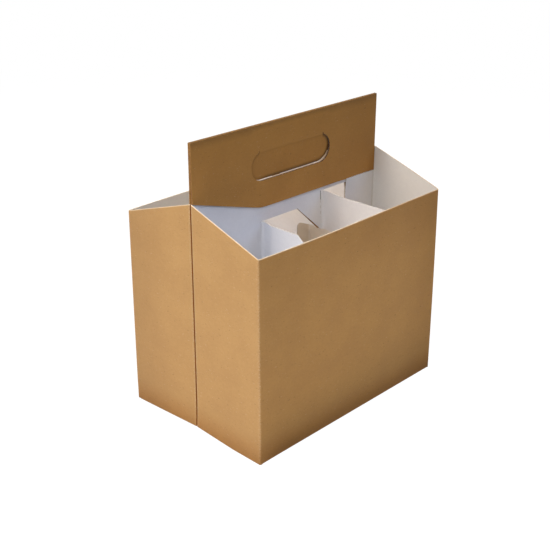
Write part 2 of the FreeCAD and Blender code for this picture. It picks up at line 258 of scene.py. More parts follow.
def merge_close(values, kept):
    """Drops values that lie too near to a neighbour, but none of those to keep."""
    held = np.zeros(len(values), bool)
    if len(kept):
        held = np.abs(values[:, None] - kept).min(-1) < SAME
    close = np.diff(values) < 2 * JUMP
    near_next = np.append(close, False) & ~held
    near_last = np.insert(close & held[:-1], 0, False) & ~held
    return values[~(near_next | near_last)]


def settle(points):
    """Moves points of the true box to where the folded board has settled.

    The left end is drawn in at its seam, evenly across the near half and by a parabola
    across the far one, and less at its foot. The right end leans in towards its upper
    corners. The near rim bows out, most at a third of its length and less lower down,
    its upper left corner tucks in and its foot splays. The far wall does half of this.
    """
    x, y, z = np.moveaxis(points, -1, 0)
    near = y < 0
    across = np.clip(np.abs(y) / HALF_WIDTH, 0, 1)
    up = z / WALL_TOP
    left = ease(1 - (x - LEFT_X) / END_REACH)
    right = ease(1 - (RIGHT_X - x) / END_REACH)
    drawn = END_DRAW - FOOT_HOLD * np.exp(-z / FOOT_HOLD_REACH)
    drawn = drawn * np.where(near, 1 - across, 1 - across ** 2) * left
    lean = RIGHT_LEAN * up ** 2 * across ** 2 * right * np.where(near, 1.0, FAR_LEAN)
    along = np.clip((x - LEFT_X) / (RIGHT_X - LEFT_X), 0, 1)
    rise = (along / BOW_PLACE) ** BOW_RISE
    fall = ((1 - along) / (1 - BOW_PLACE)) ** BOW_FALL
    bow = RIM_BOW * rise * fall * up ** 2
    splay = FOOT_SPLAY * (1 - np.minimum(up, 1)) * (1 - SPLAY_LOSS * along)
    tuck = CORNER_TUCK * up ** 2 * (1 - along) ** 2
    out = (bow + splay - tuck) * across ** 2 * np.where(near, 1.0, FAR_BOW)
    return part_halves(pull_hinges(stacked(x + drawn - lean, y + np.sign(y) * out, z)))


def pull_hinges(points):
    """Bends what hangs free near the middle plane.

    The medial wall's tip at the second hinge is pulled outwards by its strap, more the
    lower it is. The riser's free edge closes towards the other riser's.
    """
    x, y, z = np.moveaxis(points, -1, 0)
    along, upward = TIP_REACH
    past, softness = TIP_PAST
    tip = ease(1 + (x - SECOND_X) / along) * ease(1 - (x - SECOND_X - past) / softness)
    tip = tip * ease((SECOND_TOP - MM - z) / upward) * np.exp(-np.abs(y) / TIP_DEPTH)
    on_riser = np.abs(np.abs(y) - GLUE_GAP - BOARD) < MM / 10
    closed = ((x > RIGHT_X - RISER - MM) & on_riser) * ease((RIGHT_X - x) / RISER)
    closed = closed * ease((SECOND_TOP - z) / RISER_CLOSE_DROP)
    return stacked(x, y + np.sign(y) * (TIP_SPREAD * tip - RISER_CLOSE * closed), z)


def part_halves(points):
    """Opens the glued halves a little at the left end, easing to closed, and less so at
    the foot and in the handle.
    """
    x, y, z = np.moveaxis(points, -1, 0)
    foot_share, foot_reach = SEAM_OPEN_FOOT
    handle_share, handle_reach = SEAM_OPEN_HANDLE
    gap = SEAM_OPEN * ease(1 - (x - LEFT_X) / SEAM_OPEN_REACH)
    gap = gap * (1 - (1 - handle_share) * ease((z - SEAM_TOP) / handle_reach))
    gap = gap * (foot_share + (1 - foot_share) * ease(z / foot_reach))
    return stacked(x, y + np.sign(y) * gap, z)


def ease(share):
    """Smooth step from 0 to 1."""
    share = np.clip(share, 0, 1)
    return share * share * (3 - 2 * share)


# ------------------------ meshes

BROWN_FACE, WHITE_FACE, EDGE_FACE = 0, 1, 2  # a board's material slots
SHARP_TURN = math.radians(40)  # edges that turn by more stay sharp


def grid_faces(rows, columns, first):
    """Quads of a grid of points, whose numbers start at first."""
    numbers = first + np.arange(rows * columns).reshape(rows, columns)
    corners = (numbers[:-1, :-1], numbers[:-1, 1:], numbers[1:, 1:], numbers[1:, :-1])
    return np.stack([corner.ravel() for corner in corners], -1)


def make_mesh(name, side, grids, outward, brown):
    """Mesh of grids of points with their flat places and tone masks, welded where they meet.

    The grids are those of the near half, mirrored to the far half where side is 1.
    outward is -1 where the near grids' own normals, columns crossed with rows, face the
    board's brown side, and 1 where they face its white side.
    """
    faces, count = [], 0
    for grid, _, _ in grids:
        faces.append(grid_faces(*grid.shape[:2], count))
        count += grid[..., 0].size
    points, flats, tone_masks = (np.concatenate([part.reshape(-1, part.shape[-1]) for part in parts])
                            for parts in zip(*grids))
    points, faces = points * [1, -side, 1], np.concatenate(faces)[:, ::outward * -side]
    mesh = blank_mesh(name, points, faces, flats, tone_masks, brown)
    built = bmesh.new()
    built.from_mesh(mesh)
    bmesh.ops.remove_doubles(built, verts=built.verts, dist=WELD)
    built.to_mesh(mesh)
    built.free()
    return mesh


def add_object(name, data):
    """Object in the scene that shows a mesh, a lamp or a camera."""
    added = bpy.data.objects.new(name, data)
    bpy.context.collection.objects.link(added)
    return added


def shade_board(mesh):
    """Smooth shading, with the cut corners sharp."""
    mesh.shade_smooth()
    mesh.set_sharp_from_angle(angle=SHARP_TURN)


def blank_mesh(name, points, faces, flats, tone_masks, brown):
    """Mesh with a board's materials, its flat places on the blank as UVs and its tone masks.

    The tone masks are a point's nearness to a fold, from 0 to 1, its distance from the cut
    edge, and 1 where it is on an end wall. They place real wear and painted light and shade.
    """
    mesh = bpy.data.meshes.new(name)
    mesh.from_pydata(points.tolist(), [], faces.tolist())
    layer = mesh.uv_layers.new(name="Blank")
    layer.data.foreach_set("uv", flats[faces.ravel()].astype(np.float32).ravel())
    for index, label in enumerate(("fold", "edge", "end")):
        values = mesh.attributes.new(label, "FLOAT", "POINT")
        values.data.foreach_set("value", np.ascontiguousarray(tone_masks[:, index], np.float32))
    for material in (brown, WHITE, CUT_EDGE):
        mesh.materials.append(material)
    return mesh


def make_board(name, side, grids, outward=-1, thickness=BOARD, brown=None):
    """Piece of board: its brown face as drawn, its thickness inwards, its cut edges."""
    piece = add_object(name, make_mesh(name, side, grids, outward, brown or KRAFT))
    shell = piece.modifiers.new("board", "SOLIDIFY")
    shell.thickness = thickness
    shell.offset = -1
    shell.use_even_offset = True
    shell.material_offset = WHITE_FACE
    shell.material_offset_rim = EDGE_FACE
    graph = bpy.context.evaluated_depsgraph_get()
    mesh = bpy.data.meshes.new_from_object(piece.evaluated_get(graph))
    piece.modifiers.clear()
    piece.data = mesh
    shade_board(mesh)
    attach(piece, "carton")
    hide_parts("carton")
    return piece


def change_faces(piece, kind, material, chosen):
    """Gives another finish to faces of one kind whose middles are chosen by x, y and z."""
    piece.data.materials.append(material)
    faces = piece.data.polygons
    middles = np.empty(len(faces) * 3, np.float32)
    faces.foreach_get("center", middles)
    kinds = np.empty(len(faces), np.int32)
    faces.foreach_get("material_index", kinds)
    kinds[(kinds == kind) & chosen(*middles.reshape(-1, 3).T)] = len(piece.data.materials) - 1
    faces.foreach_set("material_index", kinds)


# ------------------------ materials

# A tone is a colour, the stretch of a value over which it comes in, and how much of it
# there is at the two ends of the stretch. Colours are linear.
Tone = namedtuple("Tone", "colour stretch shares")
# A fold's tone: pale rubbing on the walls, a darkened top fold on the handle, and the handle's shaded
# tone over the flap's crease band.
RubAndShade = namedtuple("RubAndShade", "colour amount evenness")
Cut = namedtuple("Cut", "tone reach")

# Tones that the brown face is multiplied by, all painted shade: at the foot, up the handle, towards the
# left and right ends, on the far half of the end walls and below the side walls' rims.
FOOT_PAINTED_SHADE = Tone((0.74, 0.46, 0.14), (0.0, 22 * MM), (0.45, 0.0))
TOP_PAINTED_SHADE = Tone((0.83, 0.83, 0.77), (178 * MM, 213 * MM), (0.0, 1.0))
LEFT_PAINTED_SHADE = Tone((0.93, 0.93, 0.93), (-90 * MM, -20 * MM), (1.0, 0.0))
RIGHT_PAINTED_SHADE = Tone((0.86, 0.83, 0.77), (45 * MM, 97 * MM), (0.0, 1.0))
FAR_PAINTED_SHADE = Tone((0.86, 0.85, 0.86), (15 * MM, 64 * MM), (0.0, 1.0))
RIM_PAINTED_SHADE = Tone((0.87, 0.84, 0.82), (0.0, 1.0), (0.0, 1.0))
# Painted light on the end walls, which face the light: they are made paler and less saturated.
END_PAINTED_LIGHT = (0.973, 1.075, 1.40)

# Tones that the brown face turns to beside a cut: along the walls' rims the cut's pale fibre with a
# painted highlight where the edge would catch the light, less towards the right; along the finger flap's
# cut, painted shade, weaker at the slot's left end.
KRAFT_CUT_PALE_AND_HIGHLIGHT = Cut(Tone((0.85, 0.71, 0.51), (-20 * MM, 50 * MM), (0.62, 0.37)), 0.9 * MM)
FLAP_CUT_SHADE = Cut(Tone((0.07, 0.035, 0.012), (-40 * MM, -16 * MM), (0.25, 0.85)), 3.2 * MM)

KRAFT_FLECK = (0.22, 0.105, 0.035)
KRAFT_PALE = (0.68, 0.46, 0.24)
WHITE_LIGHT = (0.83, 0.82, 0.82)
WHITE_SHADE = (0.79, 0.78, 0.785)
WHITE_FLECK = (0.45, 0.38, 0.30)


def new_group(name, inputs, outputs):
    """Empty node group with its inputs and their values, and the names of its outputs."""
    group = bpy.data.node_groups.new(name, "ShaderNodeTree")
    for label, value in inputs.items():
        kind = "NodeSocketVector" if isinstance(value, tuple) else "NodeSocketFloat"
        socket = group.interface.new_socket(name=label, in_out="INPUT", socket_type=kind)
        socket.default_value = value
    for label in outputs:
        group.interface.new_socket(name=label, in_out="OUTPUT", socket_type="NodeSocketFloat")
    return group, group.nodes.new("NodeGroupInput").outputs, group.nodes.new("NodeGroupOutput")


def set_inputs(tree, node, inputs):
    """Sets each input of a node to a value, or links it to a socket."""
    for key, value in inputs.items():
        if isinstance(value, bpy.types.NodeSocket):
            tree.links.new(value, node.inputs[key])
        else:
            node.inputs[key].default_value = value
    return node


def add_node(tree, kind, inputs=None, **settings):
    """Node with its settings and its inputs."""
    node = tree.nodes.new(kind)
    for name, value in settings.items():
        setattr(node, name, value)
    return set_inputs(tree, node, inputs or {})


def math_node(tree, operation, *values):
    """Result of a sum on values."""
    node = add_node(tree, "ShaderNodeMath", dict(enumerate(values)), operation=operation)
    return node.outputs[0]


def product(tree, first, *others):
    """Product of two or more values."""
    for value in others:
        first = math_node(tree, "MULTIPLY", first, value)
    return first


def ramp_value(tree, value, low, high, to_low=0.0, to_high=1.0):
    """Value moved smoothly from one range to another."""
    node = add_node(tree, "ShaderNodeMapRange", {
        "Value": value, "From Min": low, "From Max": high, "To Min": to_low, "To Max": to_high},
        interpolation_type="SMOOTHSTEP")
    return node.outputs["Result"]


def mix_colours(tree, share, first, second, blend="MIX"):
    """First colour, mixed with or multiplied by the second one as far as the share says."""
    first, second = [(*colour, 1) if isinstance(colour, tuple) else colour
                     for colour in (first, second)]
    node = add_node(tree, "ShaderNodeMix", data_type="RGBA", blend_type=blend)
    return set_inputs(tree, node, {0: share, 6: first, 7: second}).outputs[2]


def tint(tree, colour, value, tone):
    """Colour multiplied by a tone, over the tone's stretch of a value."""
    share = ramp_value(tree, value, *tone.stretch, *tone.shares)
    return mix_colours(tree, share, colour, tone.colour, "MULTIPLY")


def noise(tree, where, scale, detail, roughness, distortion=0.0):
    """Smooth random value from 0 to 1 over places."""
    node = add_node(tree, "ShaderNodeTexNoise", {
        "Vector": where, "Scale": scale, "Detail": detail, "Roughness": roughness,
        "Distortion": distortion})
    return node.outputs["Fac"]


def attribute(tree, name):
    """Value that the mesh's points hold under a name."""
    return add_node(tree, "ShaderNodeAttribute", attribute_name=name).outputs["Fac"]


def object_spot(tree):
    """Where a point is in the carrier's frame, as X, Y and Z."""
    place = add_node(tree, "ShaderNodeTexCoord").outputs["Object"]
    return add_node(tree, "ShaderNodeSeparateXYZ", {0: place}).outputs


def make_pulp_group():
    """What the pulp of the board shows: cloudy mottle, dark and pale fibre flecks, grain.

    Mottle is noise of two sizes. Flecks are the peaks of noise that is stretched into
    short strokes, three times over in different directions. Grain is fine noise, for the
    bump.
    """
    group, given, out = new_group(
        "board_pulp",
        {"Place": (0, 0, 0), "Cloud Size": 60.0, "Fleck Size": 420.0, "Fleck Share": 0.3},
        ("Mottle", "Dark Flecks", "Pale Flecks", "Grain"))
    place, cloud, size, fleck_share = given[:4]
    broad = noise(group, place, cloud, detail=3.0, roughness=0.55)
    close = noise(group, place, product(group, cloud, 9.0), detail=4.0, roughness=0.65)
    mottle = math_node(group, "ADD", product(group, broad, 0.55), product(group, close, 0.45))
    limit = ramp_value(group, fleck_share, 0.0, 1.0, 0.80, 0.60)
    full = math_node(group, "ADD", limit, 0.06)
    masks = []
    for offset, turns in ((0.0, (0.25, 1.35, 2.5)), (7.3, (0.8, 1.9, 2.9))):
        total = 0.0
        for turn in turns:
            turned = add_node(group, "ShaderNodeMapping", {
                "Vector": place, "Location": (offset, offset * turn, 0),
                "Rotation": (0, 0, turn), "Scale": (1.0, 3.2, 1.0)})
            peaks = noise(group, turned.outputs["Vector"], size, 1.0, 0.4, 0.6)
            mask = add_node(group, "ShaderNodeMapRange", {
                "Value": peaks, "From Min": limit, "From Max": full}).outputs["Result"]
            total = math_node(group, "MAXIMUM", total, mask)
        masks.append(total)
    grain = noise(group, place, product(group, size, 5.0), detail=4.0, roughness=0.7)
    set_inputs(group, out, {
        "Mottle": mottle, "Dark Flecks": masks[0], "Pale Flecks": masks[1], "Grain": grain})
    return group


def make_rub_and_shade_group():
    """Where a fold takes its tone, a rub on the walls and painted shade on the flap's crease band: the
    fold's reach, broken up by noise along it, or even.
    """
    group, given, out = new_group(
        "fold_rub_and_shade", {"Place": (0, 0, 0), "Amount": 0.5, "Evenness": 0.0}, ("RubAndShade",))
    spots = noise(group, given["Place"], 900.0, detail=3.0, roughness=0.6)
    patches = math_node(group, "MAXIMUM", ramp_value(group, spots, 0.42, 0.68), given["Evenness"])
    share = product(group, attribute(group, "fold"), patches, given["Amount"])
    set_inputs(group, out, {"RubAndShade": share})
    return group


def make_sway_group():
    """Slow unevenness of a board panel, for the bump: broad noise, stretched upright."""
    group, given, out = new_group("panel_sway", {"Place": (0, 0, 0), "Grain": 0.0}, ("Height",))
    stretched = add_node(group, "ShaderNodeMapping", {
        "Vector": given["Place"], "Scale": (1.0, 0.45, 1.0)}).outputs["Vector"]
    broad = noise(group, stretched, 22.0, detail=1.0, roughness=0.4)
    height = math_node(group, "ADD", product(group, broad, 9.0), product(group, given["Grain"], 0.35))
    set_inputs(group, out, {"Height": height})
    return group


def new_material(name):
    """Material with its node tree and its shader."""
    material = bpy.data.materials.new(name)
    material.use_nodes = True
    return material, material.node_tree, material.node_tree.nodes["Principled BSDF"]


def blank_place(tree):
    """Places on the flat blank, from the piece's UV map."""
    return add_node(tree, "ShaderNodeUVMap", uv_map="Blank").outputs["UV"]


def place_group(tree, group, **inputs):
    """Outputs of a group placed in a material. An input's name has _ for each space."""
    node = tree.nodes.new("ShaderNodeGroup")
    node.node_tree = group
    inputs = {name.replace("_", " "): value for name, value in inputs.items()}
    return set_inputs(tree, node, inputs).outputs


def start_face(tree, place, sizes, mottle, tones, flecks):
    """Pulp of a face, and its colour from the mottle and the dark flecks.

    The sizes are those of clouds and flecks and the flecks' share. The mottle is the
    stretch over which the first tone turns to the second. Flecks are a colour and amount.
    """
    cloud, size, share = sizes
    pulp = place_group(tree, PULP, Place=place, Cloud_Size=cloud, Fleck_Size=size, Fleck_Share=share)
    colour = mix_colours(tree, ramp_value(tree, pulp["Mottle"], *mottle), *tones)
    fleck_colour, amount = flecks
    dark = product(tree, pulp["Dark Flecks"], amount)
    return pulp, mix_colours(tree, dark, colour, fleck_colour)


def finish_surface(tree, shader, colour, pulp, roughness, specular, bump):
    """Sets the shader's colour, roughness, gloss and bump.

    The roughness is a pair, at the mottle's dark and pale end. The bump is its height,
    strength and distance.
    """
    height, strength, distance = bump
    rough = ramp_value(tree, pulp["Mottle"], 0.3, 0.7, *roughness)
    relief = add_node(tree, "ShaderNodeBump", {
        "Height": height, "Strength": strength, "Distance": distance})
    set_inputs(tree, shader, {
        "Base Color": colour, "Roughness": rough, "Specular IOR Level": specular,
        "Normal": relief.outputs["Normal"]})


def rim_nearness(tree, spot, end):
    """How near a point of a side wall is to the rim, more so towards the right end: the share of painted
    shade below the rim.
    """
    up = ramp_value(tree, spot["Z"], 95 * MM, 150 * MM)
    on_wall = math_node(tree, "LESS_THAN", spot["Z"], WALL_TOP + MM)
    on_side = math_node(tree, "SUBTRACT", 1.0, end)
    along = ramp_value(tree, spot["X"], -110 * MM, 110 * MM, 0.35, 1.0)
    return product(tree, up, on_wall, on_side, along)


def make_kraft(name, light, shade, rub_and_shade, cut=None):
    """Brown face: mottled, flecked with fibres, toned at folds, with painted shade at the foot.

    The folds are rubbed pale on the walls and darkened on the handle's top fold, and the
    flap's crease band takes the handle's tone. The end walls get painted light, a little
    paler, and painted shade makes the face a little darker near the ends, up the handle,
    on the far half of the end walls and below the side walls' rims. Along a cut edge the
    face turns to the tone of the cut, over its reach, and as much along the length as the
    tone says: the cut's pale fibre with a painted highlight on the walls, painted shade
    on the flap.
    """
    material, tree, shader = new_material(name)
    place = blank_place(tree)
    pulp, colour = start_face(tree, place, sizes=(48.0, 430.0, 0.42), mottle=(0.34, 0.66),
                              tones=(shade, light), flecks=(KRAFT_FLECK, 0.55))
    colour = mix_colours(tree, product(tree, pulp["Pale Flecks"], 0.45), colour, KRAFT_PALE)
    rub_and_shade_share = place_group(tree, RUB_AND_SHADE, Place=place, Amount=rub_and_shade.amount, Evenness=rub_and_shade.evenness)["RubAndShade"]
    colour = mix_colours(tree, rub_and_shade_share, colour, rub_and_shade.colour)
    end, spot = attribute(tree, "end"), object_spot(tree)
    # Painted light on the end walls.
    colour = mix_colours(tree, end, colour, END_PAINTED_LIGHT, "MULTIPLY")
    # Painted shade, multiplied in.
    for value, tone in ((spot["Z"], FOOT_PAINTED_SHADE), (spot["Z"], TOP_PAINTED_SHADE), (spot["X"], LEFT_PAINTED_SHADE),
                        (spot["X"], RIGHT_PAINTED_SHADE), (product(tree, end, spot["Y"]), FAR_PAINTED_SHADE),
                        (rim_nearness(tree, spot, end), RIM_PAINTED_SHADE)):
        colour = tint(tree, colour, value, tone)
    # Beside a cut: pale fibre with a painted highlight on the walls, painted shade on the flap.
    if cut:
        beside = product(tree, ramp_value(tree, attribute(tree, "edge"), 0.0, cut.reach, 1.0, 0.0),
                         ramp_value(tree, spot["X"], *cut.tone.stretch, *cut.tone.shares))
        colour = mix_colours(tree, beside, colour, cut.tone.colour)
    height = place_group(tree, SWAY, Place=place, Grain=pulp["Grain"])["Height"]
    finish_surface(tree, shader, colour, pulp, roughness=(0.58, 0.72), specular=0.25,
                   bump=(height, 1.0, 0.06 * MM))
    return material


def fine_cuts(tree, spot):
    """Row of short cuts in the medial wall, down from the second hinge's open cut."""
    beside = math_node(tree, "COMPARE", spot["X"], SECOND_X, 0.4 * MM)
    inside = math_node(tree, "COMPARE", spot["Y"], 0.0, 1.5 * MM)
    dashes = math_node(tree, "LESS_THAN", math_node(tree, "MODULO", spot["Z"], CUT_PITCH),
                       0.5 * CUT_PITCH)
    below = math_node(tree, "COMPARE", spot["Z"], SLIT_FOOT - 2 * CUT_PITCH, 1.9 * CUT_PITCH)
    return product(tree, beside, inside, dashes, below)


def make_white(name, colour, upper_share=1.0):
    """Coated white face: almost even, with a faint mottle and a soft sheen.

    It is multiplied by the colour, the painted light and shade of where this copy is used,
    and only by a share of it at the upper right. A row of fine cuts runs on down from the
    second hinge's open cut.
    """
    material, tree, shader = new_material(name)
    place = blank_place(tree)
    pulp, face = start_face(tree, place, sizes=(40.0, 520.0, 0.2), mottle=(0.35, 0.65),
                            tones=(WHITE_SHADE, WHITE_LIGHT), flecks=(WHITE_FLECK, 0.12))
    spot = object_spot(tree)
    share = math_node(tree, "MAXIMUM",
                      ramp_value(tree, spot["X"], -20 * MM, 40 * MM, 1.0, upper_share),
                      ramp_value(tree, spot["Z"], 105 * MM, 130 * MM, 1.0, upper_share))
    face = mix_colours(tree, share, face, colour, "MULTIPLY")
    face = mix_colours(tree, product(tree, fine_cuts(tree, spot), 0.35), face, WHITE_FLECK)
    height = place_group(tree, SWAY, Place=place, Grain=pulp["Grain"])["Height"]
    finish_surface(tree, shader, face, pulp, roughness=(0.40, 0.50), specular=0.4,
                   bump=(height, 1.0, 0.05 * MM))
    return material


def make_edge(name, light, dark, right=(1.0, 1.0, 1.0)):
    """Cut edge: torn fibres, pale and brown side by side, with a rough bump.

    Towards the right end it is multiplied by one more colour, for painted shade.
    """
    material, tree, shader = new_material(name)
    place = add_node(tree, "ShaderNodeTexCoord").outputs["Object"]
    pulp, colour = start_face(tree, place, sizes=(160.0, 1500.0, 0.8), mottle=(0.36, 0.64),
                              tones=(dark, light), flecks=(KRAFT_FLECK, 0.4))
    colour = tint(tree, colour, object_spot(tree)["X"], Tone(right, (-20 * MM, 50 * MM), (0.0, 1.0)))
    finish_surface(tree, shader, colour, pulp, roughness=(0.75, 0.9), specular=0.2,
                   bump=(pulp["Grain"], 0.6, 0.05 * MM))
    return material


PULP = make_pulp_group()
RUB_AND_SHADE = make_rub_and_shade_group()
SWAY = make_sway_group()
KRAFT = make_kraft("kraft_face", (0.556, 0.303, 0.096), (0.506, 0.267, 0.081),
                   rub_and_shade=RubAndShade(KRAFT_PALE, 0.55, 0.0), cut=KRAFT_CUT_PALE_AND_HIGHLIGHT)
# Copy of the kraft with painted shade, darker and more saturated, for the handle; its top fold is
# darkened further.
HANDLE_KRAFT_SHADED = make_kraft("handle_face_shaded", (0.508, 0.249, 0.063), (0.462, 0.220, 0.053),
                          rub_and_shade=RubAndShade((0.13, 0.068, 0.022), 0.85, 0.8))
# Copy of the kraft with painted light, lighter than the handle's, for the finger flap; its crease band
# takes the handle's shaded tone, and painted shade runs along its cut.
FLAP_KRAFT_LIT_AND_SHADED = make_kraft("flap_face_lit_and_shaded", (0.580, 0.280, 0.069), (0.528, 0.248, 0.058),
                        rub_and_shade=RubAndShade((0.49, 0.238, 0.059), 1.0, 1.0), cut=FLAP_CUT_SHADE)
# Copies of the white, each tinted by painted light and shade: bluish painted light on most inner faces,
# painted shade on the near right end, warm painted light on the far inner faces and brighter painted
# light on the far right end.
WHITE = make_white("white_face", (0.975, 0.995, 1.045), upper_share=0.0)
END_WHITE = make_white("end_white_face", (0.91, 0.90, 0.86))
FAR_WHITE = make_white("far_white_face", (1.03, 0.965, 0.84), upper_share=0.0)
FAR_END_WHITE = make_white("far_end_white_face", (1.16, 1.13, 1.06), upper_share=0.0)
# Pale cut fibre; its darkening towards the right end is painted shade.
CUT_EDGE = make_edge("cut_edge", (0.86, 0.75, 0.58), (0.72, 0.58, 0.41), right=(0.76, 0.66, 0.55))
LINED_EDGE = make_edge("lined_edge", (0.62, 0.60, 0.585), (0.54, 0.52, 0.50))
# Brown of the pressed board, darkened further by painted shade for the dark gaps between the handle's
# plies.
PRESSED_AND_SHADED_EDGE = make_edge("pressed_and_shaded_edge", (0.34, 0.185, 0.064), (0.21, 0.105, 0.036))
# Painted shade: near-black cut edges where the board's gaps and crevices lie in shadow.
SHADE_PAINTED_EDGE = make_edge("shade_painted_edge", (0.11, 0.06, 0.03), (0.07, 0.038, 0.02))
# Painted shade for the faces inside the gap between the halves at the left end.
SEAM_GAP_SHADE = make_edge("seam_gap_shade", (0.34, 0.12, 0.022), (0.24, 0.08, 0.014))


# ------------------------ pieces, drawn for the near half. side is -1 for near, 1 for far

def make_sleeve(name, side):
    """One half's walls in one sheet: riser, right end, side, left end and medial wall.

    The ends' feet rise straight towards the seams. The medial wall's lower edge is the
    outline of the windows that the straps leave, and steps up at each strap's hinge.
    """
    seam_y, wall_y = -GLUE_GAP, -HALF_WIDTH
    riser_y = seam_y - BOARD
    medial_end = RIGHT_X - CORNER_FOLD
    path = folded_path(
        [(RIGHT_X - RISER, riser_y), (RIGHT_X, riser_y), (RIGHT_X, wall_y),
         (LEFT_X, wall_y), (LEFT_X, seam_y), (medial_end, seam_y)],
        (SEAM_FOLD, CORNER_FOLD, CORNER_FOLD, SEAM_FOLD))
    _, distance, (right_seam, right_corner, left_corner, left_seam) = path
    total = distance[-1]

    def medial(x):
        return total - (medial_end - x)

    def rim(at_seams, at_corners):
        return [(right_seam, at_seams), (right_corner, at_corners),
                (left_corner, at_corners), (left_seam, at_seams)]

    fold_half = SEAM_FOLD * math.pi / 4
    first, second = medial(FIRST_X), medial(SECOND_X)
    slope_start = medial(FIRST_X + FIRST_LEVEL)
    riser_end = right_seam - fold_half
    foot = [(0, MEDIAL_FOOT)]
    for seam, corner, way in ((right_seam, right_corner, 1), (left_seam, left_corner, -1)):
        outline = [(seam - way * fold_half, MEDIAL_FOOT), (seam, END_RISE),
                   (seam + way * END_RISE_REACH[side > 0], 0),
                   (corner + way * (BOTTOM_INSET - MM), 0), (corner + way * BOTTOM_INSET, BOTTOM_FOLD)]
        foot += outline[::way]
    top = [(riser_end, SEAM_TOP), *rim(SEAM_TOP, WALL_TOP), (total, SEAM_TOP)]
    slope = [(slope_start, FIRST_TOP - JUMP), (second, SHOULDER)]
    under = rim(SKIRT_FOOT, WALL_TOP - RIM_STRIP)
    cut_end, strip_foot = level(FIRST_TOP - HINGE_SLIT), level(WALL_TOP - 2 * RIM_STRIP)
    grids = upright_bands(path, [
        (0, first, foot, cut_end, 44),
        (0, first - FIRST_SLIT, cut_end, level(FIRST_TOP), 2),
        (slope_start, second, slope, level(FIRST_TOP), 6),
        (0, second, level(FIRST_TOP), level(SECOND_TOP), 4),
        (0, total, level(SECOND_TOP), strip_foot, 2),
        (0, total, strip_foot, under, 2),
        (riser_end, total, under, top, 6),
    ])
    piece = make_board(name, side, grids)
    # Painted shade on the cut edges of the medial wall's slanting window edge and of the second hinge's
    # open cut.
    change_faces(piece, EDGE_FACE, SHADE_PAINTED_EDGE, lambda x, y, z: (
        (x > FIRST_X + FIRST_LEVEL - MM) & (x < SECOND_X + 2 * MM) & (np.abs(y) < MEDIAL_REACH)
        & (z > SHOULDER - 3 * MM) & (z < SECOND_TOP - MM / 2)))
    change_faces(piece, EDGE_FACE, LINED_EDGE, lambda x, y, z: (
        (np.abs(y) < MEDIAL_REACH) & (x > FIRST_X - MM) & (z > MEDIAL_FOOT + MM) & (z < WALL_TOP)))
    # Painted shade on the brown faces inside the opened seam at the left end.
    change_faces(piece, BROWN_FACE, SEAM_GAP_SHADE, lambda x, y, z: (
        (np.abs(y) < BOARD) & (x < LEFT_X + SEAM_GAP_SHADE_REACH) & (z < SEAM_TOP - MM)))
    # Painted shade on the near right end's white, painted light on the far right end's, and warm painted
    # light on the far half's inner faces.
    change_faces(piece, WHITE_FACE, END_WHITE if side < 0 else FAR_END_WHITE,
                 lambda x, y, z: x > RIGHT_X - END_DEPTH)
    if side > 0:
        change_faces(piece, WHITE_FACE, FAR_WHITE, lambda x, y, z: y > MEDIAL_REACH)


def level(height):
    """Straight edge at one height."""
    return [(0, height)]


def strap_path(hinge_x, plane_x, radius, drift):
    """Path of a strap and its glue tab in plan, from its hinge in the medial wall.

    It turns out of the medial wall on an arc, eases back into its own plane, runs on to
    the side wall and turns there into the tab.
    """
    tab_y = -HALF_WIDTH + 2 * BOARD + GLUE_GAP
    turn = np.linspace(0, math.pi / 2, ARC_POINTS)
    arc = stacked(hinge_x + radius * np.sin(turn), radius * (np.cos(turn) - 1) - GLUE_GAP)
    y = np.linspace(arc[-1, 1], -drift - 2 * radius, 14)[1:]
    off = (hinge_x + radius - plane_x) * (1 - ease((arc[-1, 1] - y) / drift))
    tail, _, _ = folded_path([(plane_x, y[-1]), (plane_x, tab_y), (plane_x + TAB, tab_y)],
                             (BOARD / 2,))
    points = np.concatenate([arc, stacked(plane_x + off, y), tail])
    corner = np.abs(points - [plane_x, tab_y]).sum(-1).argmin()
    return measured_path(points, [ARC_POINTS // 2, corner])


def make_straps(half, side):
    """Both straps of one half.

    The first strap's top is level, slopes to the side wall and ends in its tab's round
    corner. Under the second strap's hinge is the notch that this tab was cut from, with
    the same round corner. The second hinge is cut open at its top.
    """
    for strap, hinge_x, plane_x, radius, drift in zip(
            ("first", "second"), (FIRST_X, SECOND_X), STRAP_PLANES, STRAP_TURNS, STRAP_DRIFTS):
        path = strap_path(hinge_x, plane_x, radius, drift)
        end, reach = path[1][-1], path[2][1]
        if strap == "first":
            top = [(0, FIRST_TOP), (FIRST_LEVEL, FIRST_TOP), (reach, SHOULDER)]
            top += rounded_end(end - NOTCH_RADIUS, end, SHOULDER, NOTCH_RADIUS)
            bands = [(0, end, level(STRAP_FOOT), top, 30)]
        else:
            notch = [(0, SHOULDER)] + rounded_end(TAB - NOTCH_RADIUS, TAB, SHOULDER, NOTCH_RADIUS)
            notch_foot = level(SHOULDER - NOTCH_RADIUS)
            bands = [(TAB, end, level(STRAP_FOOT), notch_foot, 22),
                     (0, end, notch, level(SLIT_FOOT), 7),
                     (HINGE_SLIT, end, level(SLIT_FOOT), level(SECOND_TOP), 3)]
        piece = make_board(f"{half}_{strap}_strap", side, upright_bands(path, bands))
        # Painted shade on the strap's cut edges at the second hinge's open cut.
        change_faces(piece, EDGE_FACE, SHADE_PAINTED_EDGE, lambda x, y, z: (
            (x > SECOND_X - MM) & (np.abs(y) < 2 * MM)
            & (z > SLIT_FOOT - MM) & (z < SECOND_TOP - MM / 4)))
        change_faces(piece, EDGE_FACE, LINED_EDGE, lambda x, y, z: z > STRAP_FOOT + MM)


